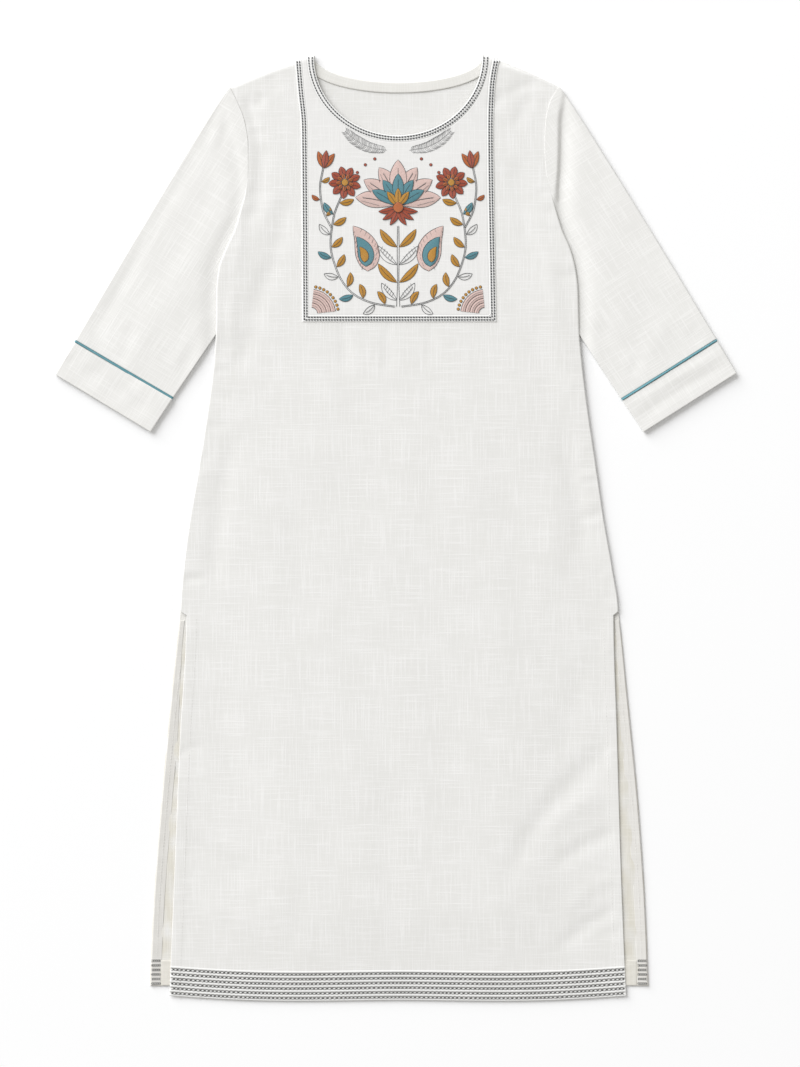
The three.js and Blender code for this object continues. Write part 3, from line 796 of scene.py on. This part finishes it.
def makeCuff(side):
    along = sleeveDirection(side)
    start = straightLine(sleeveEnds[side]["piping"], along, piping["width"] / 2, cuffAcross)
    finish = straightLine(sleeveEnds[side]["cuff"], along, 0, cuffAcross)
    s = spaced(cuff["length"], 2.0, fine=(0.4, 1.0), fineEnd=(0.3, 0.8, 1.4)) / cuff["length"]

    def top(x, up):
        uneven = undulation(x, up, 41 + sideSign[side], 45, 0.14)
        return cuff["height"] + creaseHeight(x, up, cuffFolds[side]) + uneven

    return tubePiece("cuff_" + side + "Cloth", side, sleeveSlub, start, finish, s, cuffAcross,
                     top, cuff["roll"], endRoll=(piping["seam"], 0.7))


def makePiping(side):
    # a corded strip of teal cotton in the seam: a half-round section carried round the flattened tube
    along = sleeveDirection(side)
    half = piping["width"] / 2
    ends = sleeveEnds[side]["piping"]
    start, finish = [straightLine(ends, along, reach, cuffAcross) for reach in (-half, half)]
    s = (1 - np.cos(np.linspace(0, np.pi, 9))) / 2

    def top(x, up):
        fromLine = (x - ends[0][0]) * along[0] + (up - ends[0][1]) * along[1]
        dome = np.sqrt(np.clip(1 - (fromLine / half) ** 2, 0, 1))
        return piping["foot"] + piping["dome"] * dome + undulation(x, up, 51, 30, 0.04)

    return tubePiece("piping_" + side + "Cord", side, tealPiping, start, finish, s,
                     cuffAcross, top, roll=1.7)


tealPiping = threadMaterial("teal cotton piping", "#6fa0a9", "#4f8590", roughness=0.8, sheen=0.1)
sleeves = {side: makeSleeve(side) for side in sideSign}
cuffs = {side: makeCuff(side) for side in sideSign}
pipings = {side: makePiping(side) for side in sideSign}
print("stage: sleeves, piping and cuffs")

# ---- Chest panel

yokeSides = table(
    "up left right",
    (843, 120.0, 121.2), (1085, 121.8, 117.6), (1132, 126.2, 119.2), (1190, 131.0, 129.0))
chestPanel = {
    "bottomUp": 843.0,
    "shoulderUp": 1167.4,
    "stand": 0.9,       # mm above the front
    "step": 3.2,
    "wall": 0.6,
    "rowsFromEdge": (2.4, 5.7),
    "rowsFromNeck": (2.2, 5.4),
}


def panelAway(x, up):
    # distance in from the panel's sides and bottom
    return np.minimum(np.clip(outline(yokeSides, x, up) - np.abs(x), 0, None), up - chestPanel["bottomUp"])


def panelTop(x, up):
    return frontTop(x, up) + chestPanel["stand"] - edgeRoll(np.clip(panelAway(x, up), 0, None), 0.8)


def panelMarks(x, up):
    return {
        "frameAway": (panelAway(x, up) - np.mean(chestPanel["rowsFromEdge"])) * mm,
        "rimAway": (neckAway(x, up, neck["frontDepth"]) - np.mean(chestPanel["rowsFromNeck"])) * mm,
    }


yoke = weldHalves("chestPanel", panelTop, panelMarks, yokeSides, neck["frontDepth"],
                  lambda u: chestPanel["bottomUp"], lambda u: 0 * u, chestPanel["step"],
                  width=120.0, outerNeck=1074.5, outerTop=chestPanel["shoulderUp"])
thicken(yoke, chestPanel["wall"])
finishPiece(yoke, yokeSlub, "yoke_panel")
print("stage: chest panel", len(yoke.data.vertices))

# ---- Threads: stitches as short tubes, drawn lines as long ones


def threadTubes(name, paths, heightOf, radius, material, lift=0.0, sides=5, flat=0.8):
    # tubes along lines (lines, points, 2) on the surface heightOf; radius and lift may vary by point
    heights = heightOf(paths[..., 0], paths[..., 1]) + lift
    points = np.concatenate([paths, heights[..., None]], -1)
    along = np.gradient(points, axis=1)
    along /= np.maximum(np.linalg.norm(along, axis=-1, keepdims=True), 1e-9)
    across = np.stack([along[..., 1], -along[..., 0], 0 * along[..., 0]], -1)
    across /= np.maximum(np.linalg.norm(across, axis=-1, keepdims=True), 1e-9)
    upward = np.cross(across, along)
    angle = 2 * np.pi * (np.arange(sides) + 0.5) / sides
    radius = np.broadcast_to(radius, heights.shape)[..., None, None]
    ring = points[:, :, None] + radius * (np.cos(angle)[:, None] * across[:, :, None]
                                          + flat * np.sin(angle)[:, None] * upward[:, :, None])
    lines, count = heights.shape
    faces = gridFaces(count, sides, closed=True)[:, ::-1]
    faces = (faces[None] + (np.arange(lines) * count * sides)[:, None, None]).reshape(-1, 4)
    piece = makeMesh(name, toFrame(ring.reshape(-1, 3)), faces)
    piece.data.materials.append(material)
    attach(piece, "root")
    return piece


def resampled(line, count):
    # the same line with evenly spaced points
    gone = lengthAlong(line)
    at = np.linspace(0, gone[-1], count)
    return np.stack([np.interp(at, gone, line[:, 0]), np.interp(at, gone, line[:, 1])], -1)


def runningStitches(line, pitch, length):
    # even stitches along a line, six points to each
    gone = lengthAlong(line)
    count = int(gone[-1] // pitch)
    starts = (np.arange(count) + 0.5) * gone[-1] / count - length / 2
    at = starts[:, None] + np.linspace(0, length, 6)
    return np.stack([np.interp(at, gone, line[:, 0]), np.interp(at, gone, line[:, 1])], -1)


def stitchRows(lines, row):
    return np.concatenate([runningStitches(line, row["pitch"], row["length"]) for line in lines])


def frameLine(away):
    # parallel to the panel's sides and bottom, from the left shoulder round to the right one
    up = np.linspace(chestPanel["shoulderUp"] - 0.2, chestPanel["bottomUp"] + away, 60)
    left = np.stack([-(throughRows(yokeSides, "left", up) - away), up], -1)
    right = np.stack([throughRows(yokeSides, "right", up) - away, up], -1)[::-1]
    return np.concatenate([left, right])


def rimLine(away, spread):
    # parallel to the front neck's edge, a little farther off at its sides
    angle = np.linspace(-np.pi / 2, np.pi / 2, 130)
    edge = np.stack([neckMiddle + neck["halfWidth"] * np.sin(angle),
                     neck["up"] - neck["frontDepth"] * np.cos(angle)], -1)
    slope = np.stack([neck["frontDepth"] * np.sin(angle), -neck["halfWidth"] * np.cos(angle)], -1)
    slope /= np.linalg.norm(slope, axis=1)[:, None]
    return edge + slope * (away + spread * np.sin(angle) ** 2)[:, None]


stitch = {"pitch": 3.5, "length": 2.7, "radius": 0.82, "arch": 0.75, "dive": 0.35}
stitchShape = np.sin(np.pi * np.linspace(0.08, 0.92, 6))
charcoalThread = threadMaterial("charcoal cotton thread", "#4a4e52", "#24282b", sheen=0.1)
whiteThread = threadMaterial("white cotton thread", "#f6f5f2", "#e2e0dc")
doubleRows = [frameLine(away) for away in chestPanel["rowsFromEdge"]]
doubleRows += [rimLine(away, spread) for away, spread in zip(chestPanel["rowsFromNeck"], (0.0, 1.2))]
panelStitches = stitchRows(doubleRows, stitch)
panelThreads = threadTubes("doubleRunningStitch", panelStitches, panelTop,
                           stitch["radius"] * stitchShape ** 0.5, charcoalThread,
                           lift=stitch["arch"] * stitchShape - stitch["dive"])

# white topstitching beside the front's slits, and along its side seams' foot
slitRow = {"away": 12.5, "pitch": 4.0, "length": 2.6, "radius": 0.3, "arch": 0.2}


def sideRow(side, edge, away, up):
    # a line of stitching at a distance in from a side edge
    return np.stack([sideSign[side] * (throughRows(edge, side, up) - away), up], -1)


def whiteStitches(name, lines, heightOf, dive):
    return threadTubes(name, stitchRows(lines, slitRow), heightOf, slitRow["radius"] * stitchShape ** 0.5,
                       whiteThread, lift=slitRow["arch"] * stitchShape - dive, sides=4)


slitLines = [sideRow(side, frontEdge, slitRow["away"], np.linspace(2, 476, 120)) for side in sideSign]
slitTopstitch = whiteStitches("slitTopstitch", slitLines, frontTop, 0.15)
print("stage: running stitches", len(panelStitches))

# ---- Hem rows: two threads that cross to and fro, so that each row reads as a chain

hemChain = {"wave": 10.4, "swing": 1.5, "crossing": 0.86, "open": 0.3, "pointsPerWave": 14}
slitChain = {"wave": 5.4, "lowest": 21.2, "pitch": 5.65, "count": 6, "thickness": 0.75}


def rowUps(rows):
    return rows["lowest"] + rows["pitch"] * np.arange(rows["count"])


def chainThreads(startX, endX, rowUp, wave):
    # the two threads of each row, as lines from side to side: fullest where they cross
    count = int((endX - startX) / wave * hemChain["pointsPerWave"]) + 1
    x = np.linspace(startX, endX, count)
    turn = 2 * np.pi * x / wave + 0.5 * np.sin(x / 9.1) + 0.4 * np.sin(x / 23.7)
    lines, lifts, radii = [], [], []
    for row, up in enumerate(rowUp):
        parted = np.sin(turn + row * 1.7)
        for sign in (1, -1):
            lines.append(np.stack([x, up + sign * hemChain["swing"] * parted], -1))
            lifts.append(0.12 + 0.16 * sign * np.cos(turn + row * 1.7))
            widening = (hemChain["open"] - hemChain["crossing"]) * np.abs(parted) ** 0.6
            radii.append(hemChain["crossing"] + widening)
    return np.array(lines), np.array(lifts), np.array(radii)


greyThread = threadMaterial("mixed grey cotton thread", "#565656", "#101112", roughness=0.8, sheen=0.0)
hemEnds = {side: float(throughRows(frontEdge, side, np.array(18.0))) - 2.0 for side in sideSign}
lines, lifts, radii = chainThreads(-hemEnds["left"], hemEnds["right"], rowUps(hemRows), hemChain["wave"])
lines[..., 1] += hemEdge(lines[..., 0])
hemThreads = threadTubes("hemChain", lines, frontTop, radii, greyThread, lift=lifts, sides=4)
for side, sign in sideSign.items():
    edge = float(throughRows(backEdge, side, np.array(34.0))) - turnedEdge["clear"]
    lines, lifts, radii = chainThreads(edge - turnedEdge["slitWidth"] + 0.7, edge - 0.5, rowUps(slitChain),
                                       slitChain["wave"])
    lines[..., 0] *= sign
    chain = threadTubes("slitChain_" + side, lines, slitFoldTop, slitChain["thickness"] * radii, greyThread,
                        lift=lifts, sides=4)
    foldRow = sideRow(side, backEdge, turnedEdge["clear"] + turnedEdge["slitWidth"] / 2,
                      np.linspace(54, 410, 90))
    tacks = whiteStitches("slitFoldStitch_" + side, [foldRow], slitFoldTop, 0.1)
print("stage: hem rows")

# ---- Embroidery on the chest panel: a lotus on a stem between two flowering scrolls, mirrored

art = {
    "layer": 0.28,        # mm that each layer of stitching stands above the last
    "puff": 0.45,         # mm, how full a patch of satin stitch is in its middle
    "outline": 0.36,      # mm, radius of the outlining thread
    "fine": 0.24,         # mm, radius of the grey line work
    "spinePoints": 17,
    "acrossPoints": 9,
}
shades = {
    "teal": ("#6a9fa9", "#3f7580"), "mustard": ("#d19a35", "#a8731c"), "rust": ("#b8573a", "#8c3a24"),
    "orange": ("#cf7434", "#a04f1e"), "blush": ("#ecd8d1", "#d3aca2"),
}
patches = {shade: [] for shade in shades}
drawn = {"outline": [], "fine": []}
both = (1, -1)


def turned(degrees, length):
    # a run of this length, turned clockwise from straight up
    return length * np.array([np.sin(np.radians(degrees)), np.cos(np.radians(degrees))])


def addLine(kind, points, layer=0.0):
    drawn[kind].append((resampled(np.array(points, float), 24), layer))


def addPair(kind, points, layer=0.0):
    # the same line on both sides of the panel
    for side in both:
        addLine(kind, np.array(points) * (side, 1), layer)


def addLeaf(shade, base, tip, width, bow=0.0, belly=1.0, point=0.8, layer=0, vein=True, sides=both):
    # a patch along a bowed spine: half width is a power of a sine, fuller at the base if belly is below 1
    t = np.linspace(0, 1, art["spinePoints"])[:, None]
    for side in sides:
        start, end = np.array(base) * (side, 1), np.array(tip) * (side, 1)
        run = end - start
        across = np.array([run[1], -run[0]]) / np.linalg.norm(run)
        spine = start + run * t + across * side * bow * np.sin(np.pi * t)
        along = heading(spine)
        reach = np.stack([along[:, 1], -along[:, 0]], -1) * width / 2 * np.sin(np.pi * t ** belly) ** point
        if shade:
            v = np.linspace(-1, 1, art["acrossPoints"])[:, None]
            patches[shade].append((spine[:, None] + reach[:, None] * v, layer))
        addLine("outline", spine + reach, layer)
        addLine("outline", spine - reach, layer)
        if vein:
            addLine("outline", spine[1:-3], layer + 1.2)


def addFlower(middle, count, length, width, shade, heart, heartShade, layer=1, sides=both):
    # petals all round a small round heart
    for side in sides:
        centre = np.array(middle) * (side, 1)
        for turn in np.arange(count) * 360 / count + 14 * side:
            base, tip = [centre + turned(turn, heart * 0.7 + reach) for reach in (0, length)]
            addLeaf(shade, base, tip, width, belly=1.3, layer=layer, sides=(1,))
        addDot(centre, heart * 2, heartShade, layer + 1.6, (1,))


def addDot(middle, width, shade, layer, sides=both):
    addLeaf(shade, np.array(middle) - (0, width / 2), np.array(middle) + (0, width / 2), width, point=0.55,
            layer=layer, vein=False, sides=sides)


def rounded(controls, count=60):
    # a smooth line through control points
    controls = np.array(controls, float)
    gone = lengthAlong(controls)
    rows = [{"up": g, "x": c[0], "y": c[1]} for g, c in zip(gone, controls)]
    at = np.linspace(0, gone[-1], count)
    return np.stack([throughRows(rows, "x", at), throughRows(rows, "y", at)], -1)


def addStem(controls, leaves, leafLength, leafWidth, leafShades, gap=1.5):
    # a doubled stem line on both sides of the panel, with leaves set alternately along it
    line = rounded(controls)
    along = heading(line)
    across = np.stack([along[:, 1], -along[:, 0]], -1)
    for side in both:
        for offset in (-gap / 2, gap / 2):
            addLine("outline", (line + across * offset) * (side, 1), 0.4)
    for i, place in enumerate(leaves):
        k = int(place * (len(line) - 1))
        lean = 1 if i % 2 else -1
        direction = along[k] * 0.62 + across[k] * lean * 0.78
        base = line[k] + across[k] * lean * gap
        addLeaf(leafShades[i % len(leafShades)], base, base + direction * leafLength, leafWidth,
                bow=1.6 * lean, layer=0.5)


lotus = np.array([0.0, 986.0])
for turn in (78, 52, 26):
    addLeaf("blush", lotus + turned(turn, 5), lotus + turned(turn, 54), 20, bow=-2.5, belly=1.2)
    for inset in (-0.32, 0.32):
        foot = lotus + turned(turn + inset * 26, 24)
        addPair("fine", [foot, lotus + turned(turn + inset * 9, 46)], 1.6)
addLeaf("blush", lotus + turned(0, 5), lotus + turned(0, 58), 21, belly=1.2, layer=1, sides=(1,))
for turn in (58, 30):
    addLeaf("teal", lotus + turned(turn, 3), lotus + turned(turn, 38), 13, bow=-1.5, belly=1.15, layer=2)
addLeaf("teal", lotus + turned(0, 3), lotus + turned(0, 41), 14, belly=1.15, layer=3, sides=(1,))
for turn in (36, 0):
    addLeaf("mustard", lotus, lotus + turned(turn, 23), 8.5, belly=1.1, layer=4.2,
            sides=both if turn else (1,))
for turn in (104, 130, 156):
    addLeaf("rust", lotus + turned(turn, 1), lotus + turned(turn, 25), 7.5, bow=2.0, layer=1.5)
addDot(lotus - (0, 1), 13, "orange", 5.4, (1,))
for turn in (-62, -50, -38, -26, 26, 38, 50, 62):
    addDot(lotus + turned(turn, 66), 3.6, "rust", 0, (1,))

for sway in (-0.8, 0.8):
    addLine("outline", rounded([(sway, 962), (sway * 1.5, 930), (sway, 896), (sway * 2.5, 862)]), 0.4)
for row, (up, length) in enumerate(((948, 24), (926, 28), (904, 27), (882, 22))):
    addLeaf("mustard" if row % 2 == 0 else None, (1.6, up - 12),
            (1.6 + length * 0.86, up + length * 0.42), 9.5, bow=2.4)
    if row % 2:
        for step in np.linspace(0.28, 0.8, 5):
            foot = np.array([1.6 + length * 0.86 * step, up - 12 + (length * 0.42 + 12) * step + 1.0])
            addPair("fine", [foot + (-1.5, 2.6), foot + (1.2, -2.4)], 0.2)

addStem([(4, 862), (30, 866), (56, 878), (75, 904), (84, 940), (80, 974), (70, 1000)],
        np.linspace(0.08, 0.95, 13), 18, 8.0, ("mustard", None, "mustard", "teal"))
addStem([(83, 960), (94, 984), (97, 1010), (93, 1034)], (0.22, 0.5, 0.78), 11, 5.5, ("mustard", "orange"))
addFlower((66, 1016), 9, 16, 9, "rust", 6.0, "teal")
addFlower((66, 1016), 9, 8, 4.8, "orange", 4.3, "mustard", layer=3)
for turn in (-28, 0, 28):
    addLeaf("orange" if turn else "rust", (92, 1034), np.array([92, 1034]) + turned(turn - 8, 22), 8.5,
            belly=0.9, layer=1 + (turn == 0))

# paisleys: three nested bowed drops, with short grey dashes in the outer one
paisley = {
    "foot": np.array([38.0, 906.0]), "run": np.array([18.0, 56.0]),
    "width": 30, "bow": 7.5, "belly": 0.72,
}
for scale, shade, layer in ((1.0, "blush", 0), (0.66, "teal", 1.5), (0.34, "mustard", 3)):
    low = paisley["foot"] + paisley["run"] * 0.30 * (1 - scale)
    addLeaf(shade, low, low + paisley["run"] * scale, paisley["width"] * scale, bow=-paisley["bow"] * scale,
            belly=paisley["belly"], layer=layer, vein=False)
for step in np.linspace(0.1, 0.86, 9):
    for lean in both:
        out = paisley["bow"] * np.sin(np.pi * step)
        out += lean * 11.6 * np.sin(np.pi * step ** paisley["belly"]) ** 0.8
        at = paisley["foot"] + paisley["run"] * step + np.array([-0.95, 0.31]) * out
        addPair("fine", [at + (-0.9, 2.2), at + (0.9, -2.2)], 1.2)

# fans in the two lower corners: bands of pale stitching between dark arcs
fan = {"middle": (108.0, 853.0), "first": 8.0, "band": 5.6, "bands": 4, "from": -84.0, "to": -6.0}
fanTurns = np.linspace(fan["from"], fan["to"], art["spinePoints"])
for band in range(fan["bands"]):
    radii = fan["first"] + fan["band"] * (band + np.array([0.0, 1.0]))
    for side in both:
        arcs = [np.array([(np.array(fan["middle"]) + turned(turn, radius)) * (side, 1) for turn in fanTurns])
                for radius in radii]
        v = np.linspace(0, 1, art["acrossPoints"])[:, None]
        first, last = arcs if side > 0 else arcs[::-1]
        patches["blush"].append((last[:, None] + (first - last)[:, None] * v, 0.0))
        for arc in arcs:
            addLine("outline", arc, 0.6)
        addLine("fine", (arcs[0] + arcs[1]) / 2, 1.6)
for turn in np.linspace(fan["from"] + 4, fan["to"] - 4, 9):
    addDot(np.array(fan["middle"]) + turned(turn, fan["first"] + fan["band"] * fan["bands"] + 3.4), 3.6,
           "mustard", 0)

# sprays of fine grey line below the neck
fernSpine = rounded([(14, 1056), (32, 1059), (50, 1067), (66, 1080)])
fernAlong = heading(fernSpine)
addPair("fine", fernSpine)
for place in np.linspace(0.04, 0.96, 17):
    k = int(place * 59)
    across = np.array([fernAlong[k, 1], -fernAlong[k, 0]])
    reach = 8.0 * np.sin(np.pi * (0.12 + 0.8 * place)) ** 0.6
    for lean in both:
        for lift in (0.0, 1.7):
            start = fernSpine[k] + fernAlong[k] * lift
            bend = start + across * lean * reach * 0.6 + fernAlong[k] * reach * 0.25
            tip = bend + (across * lean * 0.3 + fernAlong[k] * 0.55) * reach
            addPair("fine", rounded([start, bend, tip], 12))


def satinMaterial(name, base, dark, pitch=1.15):
    # satin stitch: fine slanting rows of thread, with painted shade in the grooves between the rows
    material = threadMaterial(name, base, dark, sheen=0.15)
    tree = material.node_tree
    shader = tree.nodes["Principled BSDF"]
    plane = addNode(tree, "ShaderNodeUVMap", {"uv_map": "cloth"}).outputs["UV"]
    slant = addNode(tree, "ShaderNodeMapping", {
        "Vector": plane, "Rotation": (0, 0, 0.75), "Scale": (1000 / pitch, 1000 / pitch, 1)})
    wave = addNode(tree, "ShaderNodeTexWave", {
        "Vector": slant.outputs["Vector"], "Scale": 0.314,
        "Distortion": 2.2, "Detail": 1.0, "Detail Scale": 0.6})
    rows = wave.outputs["Fac"]
    # painted shade: the grooves between the rows are mixed towards the dark thread colour
    finishShader(tree, shader, mixNode(tree, rows, dark, base), 1.0, 0.25, rows)
    return material


def satinPatches(shade):
    # every patch of one shade as grids in one mesh, fuller in the middle than at the edges
    plan = np.array([grid for grid, layer in patches[shade]])
    layer = np.array([layer for grid, layer in patches[shade]])[:, None, None]
    plan[..., 0] += neckMiddle
    v = np.linspace(-1, 1, art["acrossPoints"])
    z = panelTop(plan[..., 0], plan[..., 1]) + 0.05 + art["layer"] * layer
    z += art["puff"] * np.sqrt(1 - v ** 2)
    steps = np.linalg.norm(np.diff(plan, axis=2), axis=-1)
    u = np.concatenate([np.zeros_like(steps[..., :1]), np.cumsum(steps, axis=2)], 2)
    u = u - u[..., -1:] / 2
    strides = np.linalg.norm(np.diff(plan[:, :, art["acrossPoints"] // 2], axis=1), axis=-1)
    length = np.concatenate([np.zeros_like(strides[:, :1]), np.cumsum(strides, axis=1)], 1)
    length = length[..., None] + 0 * u
    grid = gridFaces(art["spinePoints"], art["acrossPoints"])
    faces = grid[None] + (np.arange(len(plan)) * art["spinePoints"] * art["acrossPoints"])[:, None, None]
    points = np.concatenate([plan, z[..., None]], -1).reshape(-1, 3)
    piece = makeMesh("satin_" + shade, toFrame(points), faces.reshape(-1, 4),
                     np.stack([u, length], -1).reshape(-1, 2) * mm)
    piece.data.materials.append(satinMaterial(shade + " satin stitch", *shades[shade]))
    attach(piece, "root")
    return piece


artwork = [satinPatches(shade) for shade in shades]
fineThread = threadMaterial("fine grey cotton thread", "#8f8f90", "#6c6d6f")
for kind, material in (("outline", charcoalThread), ("fine", fineThread)):
    lines = np.array([line for line, layer in drawn[kind]]) + (neckMiddle, 0)
    lifts = 0.12 + art["layer"] * np.array([layer for line, layer in drawn[kind]])[:, None]
    artwork.append(threadTubes("drawn_" + kind, lines, panelTop, art[kind], material, lift=lifts, sides=4))
print("stage: embroidery", {kind: len(lines) for kind, lines in drawn.items()},
      sum(map(len, patches.values())))

# ---- Camera, floor and light

pictureHeight = 1326.3 * mm
cameraMiddle = (1.2 * mm + centreX, hemY + 580.3 * mm)
lens, sensor = 120, 36
cameraHeight = pictureHeight * lens / sensor
cameraData = bpy.data.cameras.new("overhead")
cameraData.lens = lens
cameraData.sensor_width = sensor
cameraData.clip_end = 50
camera = bpy.data.objects.new("overhead", cameraData)
camera.location = (cameraMiddle[0], cameraMiddle[1], cameraHeight)
bpy.context.scene.collection.objects.link(camera)
bpy.context.scene.camera = camera

# a big soft window far off to the upper left, low enough to show the folds
# (metres, degrees above the table and degrees west of straight up the picture)
light = {"strength": 4.1, "far": 30.0, "width": 24.0, "height": 27, "bearing": 42, "world": 0.505}
windowData = bpy.data.lights.new("window", "AREA")
windowData.shape = "DISK"
windowData.size = light["width"]
windowData.energy = light["strength"] * np.pi * light["far"] ** 2
windowData.color = (1.0, 1.008, 1.03)
window = bpy.data.objects.new("window", windowData)
height, bearing = np.radians(light["height"]), np.radians(light["bearing"])
level = light["far"] * np.cos(height)
window.location = (cameraMiddle[0] - level * np.sin(bearing), cameraMiddle[1] + level * np.cos(bearing),
                   light["far"] * np.sin(height))
towards = mathutils.Vector(cameraMiddle + (0,)) - window.location
window.rotation_euler = towards.to_track_quat("-Z", "Y").to_euler()
bpy.context.scene.collection.objects.link(window)
world = bpy.data.worlds.new("soft room")
world.use_nodes = True
background = world.node_tree.nodes["Background"]
background.inputs["Color"].default_value = (1.0, 0.992, 0.972, 1)
background.inputs["Strength"].default_value = light["world"]
bpy.context.scene.world = world
bpy.context.scene.view_settings.view_transform = "Standard"

floorSize, floorLevel = 16.0, -0.0003
floorMesh = bpy.data.meshes.new("floor")
corners = [(-1, -1), (1, -1), (1, 1), (-1, 1)]
reach = floorSize / 2
floorMesh.from_pydata([(x * reach, y * reach, floorLevel) for x, y in corners], [], [(0, 1, 2, 3)])
floor = bpy.data.objects.new("floor", floorMesh)
bpy.context.scene.collection.objects.link(floor)
paper = bpy.data.materials.new("matt white paper")
paper.use_nodes = True
paperShader = paper.node_tree.nodes["Principled BSDF"]
paperShader.inputs["Base Color"].default_value = colour("#fdfdfd")
paperShader.inputs["Roughness"].default_value = 0.95
paperShader.inputs["Specular IOR Level"].default_value = 0.1
floorMesh.materials.append(paper)
